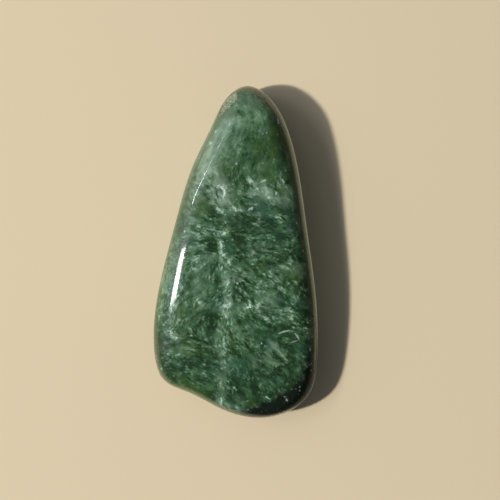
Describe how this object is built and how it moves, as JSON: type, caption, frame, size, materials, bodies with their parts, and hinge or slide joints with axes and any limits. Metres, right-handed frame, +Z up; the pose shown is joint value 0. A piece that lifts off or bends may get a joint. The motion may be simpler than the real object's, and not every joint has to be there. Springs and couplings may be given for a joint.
{
  "type": "polished seraphinite stone",
  "caption": "Polished free-form seraphinite, a flat tapered green stone with rounded edges that lies on its underside.",
  "frame": {"origin": "on the resting surface, under the middle of the stone's box", "axes": "+Z up from the resting surface, +Y from the broad heel to the narrow tip, +X across to the side with the round edge"},
  "size_m": [0.0174, 0.035, 0.0063],
  "materials": {
    "polished_seraphinite": "polished, with silky feathered fibres of pale green in dark green"
  },
  "bodies": {
    "root": {"stone": "polished_seraphinite"}
  },
  "joints": []
}
